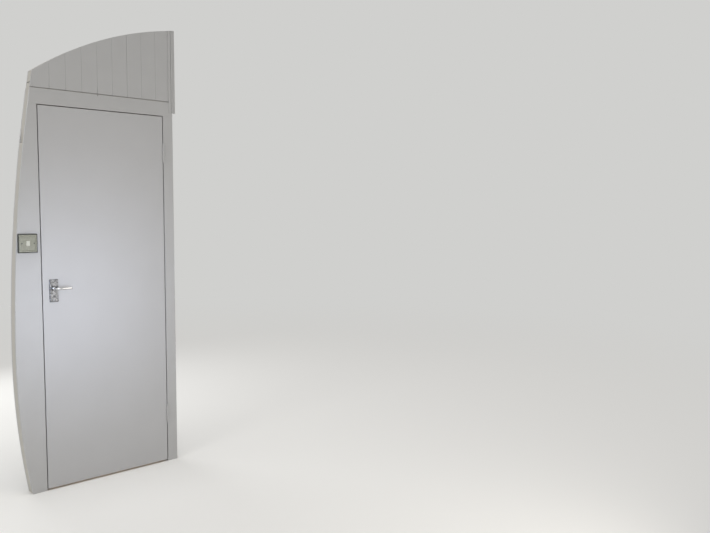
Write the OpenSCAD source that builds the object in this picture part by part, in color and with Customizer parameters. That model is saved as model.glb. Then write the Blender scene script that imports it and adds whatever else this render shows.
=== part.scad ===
// Flush door hung in a hut's boarded corner partition.
// The partition runs along X, the room is towards -Y and the closet towards +Y.
// The origin is the middle of the hinge post's foot, at floor level.

/* [Door leaf] */
// Width of the leaf
leaf_w = 686; // [560:1:840]
// Height of the leaf
leaf_h = 1981; // [1640:1:2400]
// Thickness of the leaf
leaf_t = 35; // [29:1:44]
// Thickness of the sheet facing on each side of the leaf
facing_t = 4; // [3:0.5:6]
// Width of the lippings along the leaf's two long edges
lipping_w = 8; // [6:0.5:14]

/* [Gaps] */
// Gap beside the leaf, on the hinge side and on the latch side
side_gap = 5; // [4:0.5:8]
// Gap over the leaf
head_gap = 5; // [3:0.5:8]
// Gap under the leaf
floor_gap = 10; // [5:1:20]
// Gap between the closed leaf and its stops
stop_gap = 5; // [1:0.5:6]

/* [Hut section] */
// Width between the doorway and the side wall, where the wall is widest
side_board_w = 135; // [105:1:180]
// Height at which the side wall is widest
belly_z = 720; // [500:10:900]
// How far the side wall leans in, from its widest up to the header's top
side_lean = 106; // [60:1:112]
// How far the side wall tucks in, from its widest down to the floor
side_tuck = 63; // [10:1:75]
// Height of the roof over the header's top, at the hinge post
roof_high = 402; // [300:1:500]
// Height of the roof over the header's top, at the latch side of the doorway
roof_low = 97; // [70:1:200]
// Radius of the roof, measured along the partition
roof_r = 1795; // [1450:5:2400]

/* [Framing] */
// Width of the posts, along the partition
post_w = 44; // [38:1:63]
// Depth of all framing, through the partition
frame_d = 44; // [38:1:75]
// Height of the rail over the doorway
rail_h = 90; // [63:1:120]
// Depth of the curved plate under the roof
plate_d = 40; // [30:1:60]
// Width of the short studs over the doorway
stud_w = 44; // [38:1:63]
// Width at which the batten scribed to the side wall stops
batten_min = 9; // [5:1:15]
// Thickness of the linings round the doorway
lining_t = 15; // [12:1:25]

/* [Boards and trim] */
// Thickness of the flat boards round the doorway
stile_t = 12; // [10:1:18]
// Height of the header board
header_h = 79; // [60:1:120]
// Thickness of the tongued and grooved boards
board_t = 8; // [7:0.5:12]
// Cover width of one tongued and grooved board
board_cover = 84; // [60:1:120]
// Place of the last board joint, from the hinge post's middle towards the latch
last_joint = 78; // [20:1:120]
// Width of the vee at each board joint
vee_w = 4; // [3:0.5:10]
// Depth of the vee at each board joint
vee_d = 1.5; // [1:0.5:4]
// Width of the corner trim
trim_w = 44; // [36:1:70]
// Thickness of the corner trim
trim_t = 16; // [13:1:20]
// Height of the corner trim's foot above the header's lower edge
trim_rise = 20; // [10:1:50]
// Width of the door stops
stop_w = 12; // [9:1:18]

/* [Hinges] */
// Length of each hinge
hinge_len = 100; // [75:1:125]
// Width of each hinge leaf, into the gap
hinge_leaf_w = 30; // [20:1:33]
// Thickness of each hinge leaf
hinge_leaf_t = 2.4; // [1.5:0.1:2.5]
// Radius of the hinge pins
pin_r = 2.5; // [2:0.1:3]
// Distance from the leaf's top to the upper hinge
hinge_top = 154; // [100:1:200]
// Distance from the leaf's foot to the lower hinge
hinge_foot = 225; // [150:1:300]

/* [Latch and lever] */
// Height of the spindle above the leaf's foot
spindle_up = 1050; // [900:1:1100]
// Distance from the leaf's latch edge to the spindle
backset = 55; // [44:1:70]
// Width of the backplates
plate_w = 46; // [38:1:55]
// Height of the backplates
plate_h = 118; // [100:1:160]
// Height of the spindle above the backplates' middle
plate_drop = 12; // [0:1:30]
// Length of the lever from the spindle to the middle of its scroll
lever_len = 74; // [60:1:120]
// Distance of the lever's arm from the leaf's face
lever_out = 46; // [35:1:60]

/* [Switch] */
// Distance from the latch jamb's face to the switch's middle
switch_side = 65; // [52:1:78]
// Height of the switch's middle above the floor
switch_z = 1296; // [900:1:1400]
// Width of the switch box
switch_w = 96; // [88:1:98]
// Depth of the switch box
switch_box_d = 9; // [6:1:20]
// Amount by which the switch plate stands back from the box all round
switch_rim = 5; // [1:0.5:8]

/* [Hidden] */
$fn = 64;
// Facets on the roof's wide arc
roof_fn = 720;
// Straight steps along the side wall, and the height that they reach
side_steps = 40;
side_top = 3000;
// Clearance between pieces that are pushed together by hand
seat_gap = 0.2;
// Radial clearance of pins and turning bosses
run_gap = 0.05;
// End clearance between hinge knuckles
knuckle_gap = 0.3;
// A length that is past every piece
far = 3000;
// How far a cut runs past the face that it opens
past = 1;

// Depths through the partition
frame_y0 = -frame_d / 2;
frame_y1 = frame_d / 2;
front_y = frame_y0 - stile_t;
back_y = frame_y1 + stile_t;
leaf_y0 = front_y;
leaf_y1 = leaf_y0 + leaf_t;
leaf_mid_y = (leaf_y0 + leaf_y1) / 2;
// The face of the stops that the leaf closes against
stop_y0 = leaf_y1 + stop_gap;

// Places along the partition
post_x0 = -post_w / 2;
post_x1 = post_w / 2;
jamb_x1 = post_x0 - lining_t;
leaf_x1 = jamb_x1 - side_gap;
leaf_x0 = leaf_x1 - leaf_w;
jamb_x0 = leaf_x0 - side_gap;
latch_post_x1 = jamb_x0 - lining_t;
latch_post_x0 = latch_post_x1 - post_w;
trim_x0 = 0;
belly_out = side_board_w - jamb_x0;

// Heights
leaf_z0 = floor_gap;
leaf_z1 = leaf_z0 + leaf_h;
head_z = leaf_z1 + head_gap;
rail_z0 = head_z + lining_t;
rail_z1 = rail_z0 + rail_h;
header_z1 = head_z + header_h;
trim_z0 = head_z + trim_rise;

// The side wall's two arcs, from their rise and their chord
lean_h = header_z1 - belly_z;
upper_side_r = (lean_h * lean_h + side_lean * side_lean) / (2 * side_lean);
lower_side_r = (belly_z * belly_z + side_tuck * side_tuck) / (2 * side_tuck);

// The roof's arc, from its radius and its two ends
roof_dx = post_x1 - jamb_x0;
roof_dz = roof_high - roof_low;
roof_chord = sqrt(roof_dx * roof_dx + roof_dz * roof_dz);
roof_fall = sqrt(roof_r * roof_r - roof_chord * roof_chord / 4) / roof_chord;
roof_x = (post_x1 + jamb_x0) / 2 + roof_dz * roof_fall;
roof_z = header_z1 + (roof_high + roof_low) / 2 - roof_dx * roof_fall;

// The batten ends where the side wall leaves it too thin
batten_side = upper_side_r - belly_out - latch_post_x0 + batten_min;
batten_z1 = belly_z + sqrt(upper_side_r * upper_side_r - batten_side * batten_side);

// The corner trim's mouldings
band_w = 14;
band_drop = 2;
quirk_w = 2.5;
bead_r = 4;
hollow_edge = 4;

// Hinge sizes worked out from the gap
hinge_x = (leaf_x1 + jamb_x1) / 2;
knuckle_r = side_gap / 2 + hinge_leaf_t;
hinge_y = front_y - knuckle_r;
knuckles = 5;
knuckle_len = hinge_len / knuckles;
pin_head_t = 2.5;
pin_head_in = 0.5;
upper_hinge_z = leaf_z1 - hinge_top - hinge_len;
lower_hinge_z = leaf_z0 + hinge_foot;
hinge_leaf_y1 = leaf_y0 + hinge_leaf_w - knuckle_r;

// Latch sizes
spindle_x = leaf_x0 + backset;
spindle_z = leaf_z0 + spindle_up;
case_r = 11;
case_past = 12;
forend_t = 2.5;
forend_w = 25;
forend_h = 57;
bolt_w = 12;
bolt_h = 15;
bolt_len = 14;
bolt_bevel = 7;
strike_t = 1.5;
keep_w = 14;
keep_h = 20;
keep_d = 10;
spindle_s = 7.6;
spindle_bore_r = 6;
door_bore_r = 10;

// Lever and backplate sizes
plate_base_t = 3;
plate_step = 3;
plate_step_t = 3;
plate_corner_r = 4;
collar_r = 13;
collar_t = 3;
collar_bead_r = 1.5;
boss_r = 9;
boss_in = 1;
boss_out = 4;
neck_r = 7;
bend_r = 12;
arm_tip_r = 5;
scroll_r = 7.5;
scroll_h = 13;
socket_d = 26;

// Switch sizes
switch_x = jamb_x0 - switch_side;
switch_y0 = front_y - switch_box_d;
switch_plate_t = 3;
switch_raise = 8;
switch_raise_t = 1.5;
switch_corner_r = 3;
rocker_w = 17;
rocker_h = 25;
rocker_top = 5;
rocker_mid = 2.5;
rocker_foot = 3;

// A straight bar between two corners
module bar(x0, x1, y0, y1, z0, z1) {
    translate([x0, y0, z0])
        cube([x1 - x0, y1 - y0, z1 - z0]);
}

// A flat outline in the plane of the partition, given its depth
module slab(y0, y1) {
    translate([0, y1, 0])
        rotate([90, 0, 0])
            linear_extrude(y1 - y0)
                children();
}

// A rectangle in the plane of the partition
module panel(x0, x1, z0, z1) {
    translate([x0, z0])
        square([x1 - x0, z1 - z0]);
}

// How far out the side wall stands at a height: two arcs that meet at its widest
function side_x(z) =
    let (r = z > belly_z ? upper_side_r : lower_side_r)
    r - belly_out - sqrt(r * r - (z - belly_z) * (z - belly_z));

// The space inside the side wall
module side_outline() {
    step = side_top / side_steps;
    polygon(concat(
        [for (i = [0 : side_steps]) [side_x(i * step), i * step]],
        [[far, side_top], [far, 0]]
    ));
}

// The disc under the roof, less a depth
module roof_disc(depth) {
    translate([roof_x, roof_z])
        circle(r = roof_r - depth, $fn = roof_fn);
}

// The clear shape inside the hut that the partition fills
module hut_outline() {
    intersection() {
        side_outline();
        roof_disc(0);
    }
}

// A piece of the partition, cut to the hut's outline
module fitted(x0, x1, y0, y1, z0, z1) {
    slab(y0, y1)
        intersection() {
            hut_outline();
            panel(x0, x1, z0, z1);
        }
}

module hinge_post() {
    color("burlywood")
        fitted(post_x0, post_x1, frame_y0, frame_y1, 0, far);
}

module latch_post() {
    color("burlywood")
        fitted(latch_post_x0, latch_post_x1, frame_y0, frame_y1, 0, rail_z0);
}

module scribe_batten() {
    color("burlywood")
        fitted(-far, latch_post_x0, frame_y0, frame_y1, 0, batten_z1);
}

module head_rail() {
    color("burlywood")
        fitted(-far, post_x0, frame_y0, frame_y1, rail_z0, rail_z1);
}

module roof_plate() {
    color("burlywood")
        slab(frame_y0, frame_y1)
            difference() {
                intersection() {
                    hut_outline();
                    panel(-far, post_x0, rail_z1, far);
                }
                roof_disc(plate_d);
            }
}

// Two short studs share the space over the doorway in three equal bays
module short_studs() {
    bay = (post_x0 - latch_post_x1) / 3;
    color("burlywood")
        for (i = [1, 2])
            slab(frame_y0, frame_y1)
                intersection() {
                    roof_disc(plate_d + seat_gap);
                    panel(post_x0 - i * bay - stud_w / 2, post_x0 - i * bay + stud_w / 2, rail_z1, far);
                }
}

// The shallow seat for one hinge leaf in the jamb or in the leaf's edge
module hinge_seats(x0, x1) {
    for (z = [upper_hinge_z, lower_hinge_z])
        bar(x0, x1, front_y - past, hinge_leaf_y1 + seat_gap, z - seat_gap, z + hinge_len + seat_gap);
}

module jamb_seats() {
    hinge_seats(jamb_x1 - past, jamb_x1 + hinge_leaf_t);
}

module leaf_seats() {
    hinge_seats(leaf_x1 - hinge_leaf_t, leaf_x1 + past);
}

module hinge_jamb() {
    color("white")
        difference() {
            bar(jamb_x1, post_x0, frame_y0, frame_y1, 0, head_z);
            jamb_seats();
        }
}

// The hole that the latch bolt shoots into
module keep_hole() {
    bar(jamb_x0 - keep_d, jamb_x0 + past, leaf_mid_y - keep_w / 2, leaf_mid_y + keep_w / 2,
        spindle_z - keep_h / 2, spindle_z + keep_h / 2);
}

module strike_outline(grow) {
    bar(jamb_x0 - strike_t, jamb_x0 + grow, leaf_mid_y - forend_w / 2 - grow,
        leaf_mid_y + forend_w / 2 + grow, spindle_z - forend_h / 2 - grow,
        spindle_z + forend_h / 2 + grow);
}

module latch_jamb() {
    color("white")
        difference() {
            bar(latch_post_x1, jamb_x0, frame_y0, frame_y1, 0, head_z);
            keep_hole();
            strike_outline(seat_gap);
        }
}

module head_jamb() {
    color("white")
        bar(latch_post_x1, post_x0, frame_y0, frame_y1, head_z, rail_z0);
}

module hinge_stop() {
    color("white")
        bar(jamb_x1 - stop_w, jamb_x1, stop_y0, frame_y1, 0, head_z - stop_w);
}

module latch_stop() {
    color("white")
        bar(jamb_x0, jamb_x0 + stop_w, stop_y0, frame_y1, 0, head_z - stop_w);
}

module head_stop() {
    color("white")
        bar(jamb_x0, jamb_x1, stop_y0, frame_y1, head_z - stop_w, head_z);
}

module front_hinge_stile() {
    color("white")
        difference() {
            bar(jamb_x1, post_x1, front_y, frame_y0, 0, head_z);
            jamb_seats();
        }
}

module front_latch_stile() {
    color("white")
        difference() {
            fitted(-far, jamb_x0, front_y, frame_y0, 0, head_z);
            strike_outline(seat_gap);
        }
}

// The header is notched at its end to carry the foot of the corner trim
module front_header() {
    color("white")
        slab(front_y, frame_y0)
            difference() {
                intersection() {
                    hut_outline();
                    panel(-far, post_x1, head_z, header_z1);
                }
                panel(trim_x0, far, trim_z0, far);
            }
}

// Boards with a vee at each joint, set out from the hinge post
module boards(x1, y_face, y_back) {
    inward = y_back > y_face ? 1 : -1;
    first = -last_joint - board_cover * ceil(belly_out / board_cover);
    difference() {
        fitted(-far, x1, min(y_face, y_back), max(y_face, y_back), header_z1, far);
        for (x = [first : board_cover : -last_joint])
            translate([x, y_face, header_z1 - past])
                linear_extrude(far)
                    polygon([
                        [-vee_w, -vee_d * inward],
                        [vee_w, -vee_d * inward],
                        [0, vee_d * inward]
                    ]);
    }
}

module front_boards() {
    color("white")
        boards(trim_x0, frame_y0 - board_t, frame_y0);
}

module back_boards() {
    color("white")
        boards(post_x1, frame_y1 + board_t, frame_y1);
}

module back_hinge_stile() {
    color("white")
        bar(jamb_x1, post_x1, frame_y1, back_y, 0, head_z);
}

module back_latch_stile() {
    color("white")
        fitted(-far, jamb_x0, frame_y1, back_y, 0, head_z);
}

module back_header() {
    color("white")
        fitted(-far, post_x1, frame_y1, back_y, head_z, header_z1);
}

// A moulding with a flat band, a quirk, a bead and a hollow, cut to the roof
module corner_trim() {
    bead_x = band_w + quirk_w + bead_r;
    color("white")
        intersection() {
            translate([trim_x0, frame_y0, trim_z0])
                linear_extrude(far)
                    difference() {
                        union() {
                            translate([0, -trim_t + bead_r])
                                square([bead_x, trim_t - bead_r]);
                            translate([0, -trim_t + band_drop])
                                square([band_w, trim_t - band_drop]);
                            translate([bead_x, -trim_t + bead_r])
                                circle(r = bead_r);
                            translate([bead_x, -trim_t + bead_r])
                                square([trim_w - bead_x, trim_t - bead_r]);
                        }
                        translate([trim_w, -trim_t + bead_r])
                            circle(r = trim_t - bead_r - hollow_edge);
                    }
            slab(frame_y0 - trim_t, frame_y0)
                hut_outline();
        }
}

module strike_plate() {
    color("gainsboro")
        difference() {
            strike_outline(0);
            keep_hole();
        }
}

// A rectangle with round corners, about its middle
module round_panel(w, h, r) {
    square([w - 2 * r, h], center = true);
    square([w, h - 2 * r], center = true);
    for (x = [-1, 1], z = [-1, 1])
        translate([x * (w / 2 - r), z * (h / 2 - r)])
            circle(r = r);
}

module switch_box() {
    color("dimgray")
        slab(switch_y0, front_y)
            translate([switch_x, switch_z])
                round_panel(switch_w, switch_w, switch_corner_r);
}

// One layer of the switch plate, with the rocker's window through it
module switch_layer(size, y0, y1) {
    slab(y0, y1)
        translate([switch_x, switch_z])
            difference() {
                round_panel(size, size, switch_corner_r);
                square([rocker_w + 2 * seat_gap, rocker_h + 2 * seat_gap], center = true);
            }
}

// The plate, with its middle raised
module switch_plate() {
    size = switch_w - 2 * switch_rim;
    raised_y = switch_y0 - switch_plate_t;
    color("darkkhaki") {
        switch_layer(size, raised_y, switch_y0);
        switch_layer(size - 2 * switch_raise, raised_y - switch_raise_t, raised_y);
    }
}

// The rocker rests tilted, its lower end pressed in
module switch_rocker() {
    y = switch_y0 - switch_plate_t;
    color("ivory")
        translate([switch_x - rocker_w / 2, 0, switch_z - rocker_h / 2])
            rotate([90, 0, 90])
                linear_extrude(rocker_w)
                    polygon([
                        [switch_y0, 0],
                        [switch_y0, rocker_h],
                        [y - rocker_top, rocker_h],
                        [y - rocker_mid, rocker_h / 2],
                        [y - rocker_foot, 0]
                    ]);
}

// One hinge leaf: its flat plate and every second knuckle.
// The side is -1 for the leaf on the door and 1 for the leaf on the jamb.
module hinge_leaf(z0, side) {
    first = side < 0 ? 1 : 0;
    inner = side * side_gap / 2;
    outer = side * knuckle_r;
    clear_y = hinge_y + knuckle_r + knuckle_gap;
    difference() {
        union() {
            bar(hinge_x + min(inner, outer), hinge_x + max(inner, outer), clear_y, hinge_leaf_y1,
                z0, z0 + hinge_len);
            for (i = [first : 2 : knuckles - 1])
                translate([0, 0, z0 + i * knuckle_len]) {
                    low = i == 0 ? 0 : knuckle_gap;
                    high = i == knuckles - 1 ? knuckle_len : knuckle_len - knuckle_gap;
                    translate([hinge_x, hinge_y, low])
                        cylinder(r = knuckle_r, h = high - low);
                    bar(hinge_x + min(inner, outer), hinge_x + max(inner, outer), hinge_y,
                        clear_y + knuckle_gap, low, high);
                }
        }
        translate([hinge_x, hinge_y, z0 - past])
            cylinder(r = pin_r + run_gap, h = hinge_len + 2 * past);
    }
}

// A pin with a button head above and below the knuckles
module hinge_pin(z0) {
    translate([hinge_x, hinge_y, z0])
        cylinder(r = pin_r, h = hinge_len);
    for (z = [z0 - pin_head_t, z0 + hinge_len])
        translate([hinge_x, hinge_y, z])
            cylinder(r = knuckle_r - pin_head_in, h = pin_head_t);
}

module upper_hinge_frame_leaf() {
    color("white")
        hinge_leaf(upper_hinge_z, 1);
}

module upper_hinge_pin() {
    color("white")
        hinge_pin(upper_hinge_z);
}

module lower_hinge_frame_leaf() {
    color("white")
        hinge_leaf(lower_hinge_z, 1);
}

module lower_hinge_pin() {
    color("white")
        hinge_pin(lower_hinge_z);
}

module upper_hinge_door_leaf() {
    color("white")
        hinge_leaf(upper_hinge_z, -1);
}

module lower_hinge_door_leaf() {
    color("white")
        hinge_leaf(lower_hinge_z, -1);
}

// The bore along the leaf's width that takes the latch case
module case_bore() {
    translate([leaf_x0 - past, leaf_mid_y, spindle_z])
        rotate([0, 90, 0])
            cylinder(r = case_r + seat_gap, h = backset + case_past + 2 * past);
}

// The hole through the leaf for the spindle
module spindle_hole(r) {
    translate([spindle_x, leaf_y0 - past, spindle_z])
        rotate([-90, 0, 0])
            cylinder(r = r, h = leaf_t + 2 * past);
}

module door_core() {
    color("tan")
        difference() {
            bar(leaf_x0 + lipping_w, leaf_x1 - lipping_w, leaf_y0 + facing_t, leaf_y1 - facing_t,
                leaf_z0, leaf_z1);
            case_bore();
            spindle_hole(door_bore_r);
        }
}

module facing(y0) {
    difference() {
        bar(leaf_x0 + lipping_w, leaf_x1 - lipping_w, y0, y0 + facing_t, leaf_z0, leaf_z1);
        spindle_hole(door_bore_r);
    }
}

module front_facing() {
    color("white")
        facing(leaf_y0);
}

module back_facing() {
    color("white")
        facing(leaf_y1 - facing_t);
}

module hinge_lipping() {
    color("white")
        difference() {
            bar(leaf_x1 - lipping_w, leaf_x1, leaf_y0, leaf_y1, leaf_z0, leaf_z1);
            leaf_seats();
        }
}

module latch_lipping() {
    color("white")
        difference() {
            bar(leaf_x0, leaf_x0 + lipping_w, leaf_y0, leaf_y1, leaf_z0, leaf_z1);
            case_bore();
            bar(leaf_x0 - past, leaf_x0 + forend_t, leaf_mid_y - forend_w / 2 - seat_gap,
                leaf_mid_y + forend_w / 2 + seat_gap, spindle_z - forend_h / 2 - seat_gap,
                spindle_z + forend_h / 2 + seat_gap);
        }
}

// The mouth in the latch's forend and case that the bolt slides in
module bolt_way() {
    bar(leaf_x0 - past, leaf_x0 + bolt_len + seat_gap, leaf_mid_y - bolt_w / 2 - seat_gap,
        leaf_mid_y + bolt_w / 2 + seat_gap, spindle_z - bolt_h / 2 - seat_gap,
        spindle_z + bolt_h / 2 + seat_gap);
}

module latch_case() {
    color("silver")
        difference() {
            union() {
                bar(leaf_x0, leaf_x0 + forend_t, leaf_mid_y - forend_w / 2, leaf_mid_y + forend_w / 2,
                    spindle_z - forend_h / 2, spindle_z + forend_h / 2);
                translate([leaf_x0 + forend_t, leaf_mid_y, spindle_z])
                    rotate([0, 90, 0])
                        cylinder(r = case_r, h = backset + case_past - forend_t);
            }
            bolt_way();
            spindle_hole(spindle_bore_r);
        }
}

// The bolt is drawn back, its bevelled nose level with the forend
module latch_bolt() {
    color("silver")
        translate([leaf_x0, leaf_mid_y, spindle_z - bolt_h / 2])
            linear_extrude(bolt_h)
                polygon([
                    [0, -bolt_w / 2],
                    [bolt_len, -bolt_w / 2],
                    [bolt_len, bolt_w / 2],
                    [bolt_bevel, bolt_w / 2]
                ]);
}

// A backplate in two steps with a round collar for the lever's boss
module backplate() {
    rise = plate_base_t + plate_step_t;
    difference() {
        union() {
            slab(leaf_y0 - plate_base_t, leaf_y0)
                translate([spindle_x, spindle_z - plate_drop])
                    round_panel(plate_w, plate_h, plate_corner_r);
            slab(leaf_y0 - rise, leaf_y0 - plate_base_t)
                translate([spindle_x, spindle_z - plate_drop])
                    round_panel(plate_w - 2 * plate_step, plate_h - 2 * plate_step, plate_corner_r);
            translate([spindle_x, leaf_y0 - rise, spindle_z])
                rotate([90, 0, 0])
                    collar();
        }
        translate([spindle_x, leaf_y0 - rise - collar_t - collar_bead_r - past, spindle_z])
            rotate([-90, 0, 0])
                cylinder(r = boss_r + run_gap, h = rise + collar_t + collar_bead_r + 2 * past);
    }
}

// The turned collar on the backplate, with a bead round its edge
module collar() {
    rotate_extrude()
        union() {
            square([collar_r, collar_t]);
            translate([collar_r - collar_bead_r, collar_t])
                circle(r = collar_bead_r);
        }
}

// A lever with a turned boss, a neck bent through a right angle, a tapered arm and a scroll
module lever() {
    boss_end = plate_base_t + plate_step_t + collar_t + boss_out;
    difference() {
        translate([spindle_x, leaf_y0, spindle_z]) {
            translate([0, -boss_in, 0])
                rotate([90, 0, 0])
                    cylinder(r = boss_r, h = boss_end - boss_in);
            rotate([90, 0, 0])
                cylinder(r = neck_r, h = lever_out - bend_r);
            translate([bend_r, bend_r - lever_out, 0])
                rotate([0, 0, 180])
                    rotate_extrude(angle = 90)
                        translate([bend_r, 0])
                            circle(r = neck_r);
            translate([bend_r, -lever_out, 0])
                rotate([0, 90, 0])
                    cylinder(r1 = neck_r, r2 = arm_tip_r, h = lever_len - bend_r);
            translate([lever_len, -lever_out + scroll_r - arm_tip_r, -scroll_h / 2])
                cylinder(r = scroll_r, h = scroll_h);
        }
        socket();
    }
}

// The square socket that takes the spindle
module socket() {
    s = spindle_s + seat_gap;
    bar(spindle_x - s / 2, spindle_x + s / 2, leaf_y0 - socket_d, leaf_y0 + past,
        spindle_z - s / 2, spindle_z + s / 2);
}

// A copy on the closet side of the leaf
module on_back() {
    translate([0, 2 * leaf_mid_y, 0])
        mirror([0, 1, 0])
            children();
}

module front_backplate() {
    color("silver")
        backplate();
}

module back_backplate() {
    color("silver")
        on_back()
            backplate();
}

module front_lever() {
    color("silver")
        lever();
}

module back_lever() {
    color("silver")
        on_back()
            lever();
}

module spindle() {
    reach = socket_d - seat_gap;
    color("silver")
        bar(spindle_x - spindle_s / 2, spindle_x + spindle_s / 2, leaf_y0 - reach, leaf_y1 + reach,
            spindle_z - spindle_s / 2, spindle_z + spindle_s / 2);
}

hinge_post();
latch_post();
scribe_batten();
head_rail();
roof_plate();
short_studs();
hinge_jamb();
latch_jamb();
head_jamb();
hinge_stop();
latch_stop();
head_stop();
front_hinge_stile();
front_latch_stile();
front_header();
front_boards();
back_hinge_stile();
back_latch_stile();
back_header();
back_boards();
corner_trim();
strike_plate();
switch_box();
switch_plate();
switch_rocker();
upper_hinge_frame_leaf();
upper_hinge_pin();
lower_hinge_frame_leaf();
lower_hinge_pin();
door_core();
front_facing();
back_facing();
hinge_lipping();
latch_lipping();
upper_hinge_door_leaf();
lower_hinge_door_leaf();
latch_case();
latch_bolt();
front_backplate();
back_backplate();
front_lever();
back_lever();
spindle();
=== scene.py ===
# A painted flush door hung in a hut's boarded corner partition.
import math

import bmesh
import bpy
from bpy.props import FloatProperty, FloatVectorProperty, PointerProperty
from bpy.types import Operator, Panel, PropertyGroup
from mathutils import Euler, Matrix, Vector


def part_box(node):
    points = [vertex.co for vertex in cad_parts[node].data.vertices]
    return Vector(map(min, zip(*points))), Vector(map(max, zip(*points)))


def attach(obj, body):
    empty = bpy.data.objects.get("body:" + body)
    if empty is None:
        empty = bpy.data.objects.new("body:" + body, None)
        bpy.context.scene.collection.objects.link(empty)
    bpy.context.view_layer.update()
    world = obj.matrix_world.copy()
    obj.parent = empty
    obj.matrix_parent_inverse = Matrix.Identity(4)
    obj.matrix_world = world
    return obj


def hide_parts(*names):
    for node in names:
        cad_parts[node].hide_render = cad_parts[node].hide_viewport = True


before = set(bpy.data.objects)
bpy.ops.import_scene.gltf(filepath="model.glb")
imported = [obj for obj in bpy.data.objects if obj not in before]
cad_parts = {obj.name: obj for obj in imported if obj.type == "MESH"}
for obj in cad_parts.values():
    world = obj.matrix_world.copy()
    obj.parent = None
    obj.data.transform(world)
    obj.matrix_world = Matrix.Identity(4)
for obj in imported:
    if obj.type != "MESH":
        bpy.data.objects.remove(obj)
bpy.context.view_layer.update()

bl_info = {
    "name": "Boarded partition door",
    "version": (1, 0, 0),
    "blender": (4, 5, 0),
    "location": "View3D > Sidebar > Door",
    "description": "Finishes a flush door hung in a hut's boarded corner partition",
    "category": "Object",
}

MM = 0.001
# How far a cutting block runs past the face that it opens
PAST = 1 * MM
# Length that carries a cutting rod or block right through a piece
THROUGH = 100 * MM
# Clearance between pieces that are pushed together by hand
SEAT = 0.2 * MM
# Turns that lay an upright rod or turned piece along an axis
ALONG_X = (0, math.pi / 2, 0)
ALONG_Y = (math.pi / 2, 0, 0)
# A wave texture of scale 1 repeats in this many metres
WAVE = math.pi / 10
# A noise texture's values lie mostly between these
NOISE_LOW, NOISE_HIGH = 0.35, 0.65
# Refractive index of the paint's skin
PAINT_IOR = 1.48


def linear(hexcode):
    """Turn an sRGB hex colour into linear red, green and blue."""
    channels = [int(hexcode[i:i + 2], 16) / 255 for i in (0, 2, 4)]
    return tuple(c / 12.92 if c <= 0.04045 else ((c + 0.055) / 1.055) ** 2.4 for c in channels)


def low(node):
    """Lowest corner of a CAD node."""
    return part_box(node)[0]


def high(node):
    """Highest corner of a CAD node."""
    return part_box(node)[1]


def middle(node):
    """Middle of a CAD node's box."""
    return (low(node) + high(node)) / 2


# Places that the pieces are set out from
FACE_Y = low("front_facing").y
LEAF_MID_Y = (low("front_facing").y + high("back_facing").y) / 2
DOORWAY_X0 = high("front_latch_stile").x
HEADER_TOP = high("front_header").z
POST_X1 = high("hinge_post").x
SPINDLE = middle("spindle")


def colour_property(name, description, hexcode):
    """A colour that the user can change, written as sRGB hex."""
    return FloatVectorProperty(
        name=name, description=description, default=linear(hexcode), subtype="COLOR",
        size=3, min=0, max=1)


def length_property(name, description, millimetres):
    """A length that the user can change, written in millimetres."""
    return FloatProperty(
        name=name, description=description, default=millimetres * MM, min=0, precision=4,
        unit="LENGTH", subtype="DISTANCE")


def power_property(name, description, watts):
    """A lamp's power, written in watts."""
    return FloatProperty(name=name, description=description, default=watts, min=0, unit="POWER")


class HUTDOOR_PG_section(PropertyGroup):
    """Shape of the hut's side wall and roof, which the partition is scribed to."""

    roof_radius: length_property("Roof radius", "Radius of the roof's arc", 1795)
    roof_high: length_property("Roof high", "Roof over the header's top, at the hinge post", 402)
    roof_low: length_property("Roof low", "Roof over the header's top, at the latch side", 97)
    belly_height: length_property("Belly height", "Height at which the side wall is widest", 720)
    side_board: length_property("Side board", "Width from doorway to side wall at the belly", 135)
    side_lean: length_property("Side lean", "Lean of the side wall up to the header's top", 106)
    side_tuck: length_property("Side tuck", "Tuck of the side wall down to the floor", 63)


class HUTDOOR_PG_timber(PropertyGroup):
    """Sizes of the boards and their joints."""

    arris: length_property("Arris", "Rounding of the painted boards' corners", 1.2)
    cover: length_property("Board cover", "Cover width of one tongued board", 84)
    last_joint: length_property("Last joint", "From the hinge post's middle to a board joint", 78)
    vee: length_property("Vee", "Chamfer on each side of a board joint", 0.9)
    joint: length_property("Joint", "Open width of a board joint", 0.1)
    shrunk: length_property("Shrunk joint", "Open width of the one joint that has shrunk", 0.7)
    tongue: length_property("Tongue", "Length of a board's tongue", 4)
    foot_gap: length_property("Foot gap", "Shadow gap between the boards and the header", 4.5)
    crack_width: length_property("Crack width", "Width of the widest crack at its foot", 3)
    crack_height: length_property("Crack height", "Height that the widest crack reaches", 42)


class HUTDOOR_PG_iron(PropertyGroup):
    """Sizes of the screws and the turned and drawn metal."""

    screw: length_property("Screw", "Radius of the hinge screws' heads", 3.8)
    small_screw: length_property("Small screw", "Radius of the other screws' heads", 2.8)
    slot: length_property("Slot", "Width of a screw's slot", 0.9)
    neck: length_property("Neck", "Radius of the lever's neck", 6.2)
    bend: length_property("Bend", "Radius of the lever's bend", 12)
    strip: length_property("Strip", "Thickness of the lever's scroll", 3.4)
    scroll: length_property("Scroll", "Radius that the lever's end is rolled to", 4.8)


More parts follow.
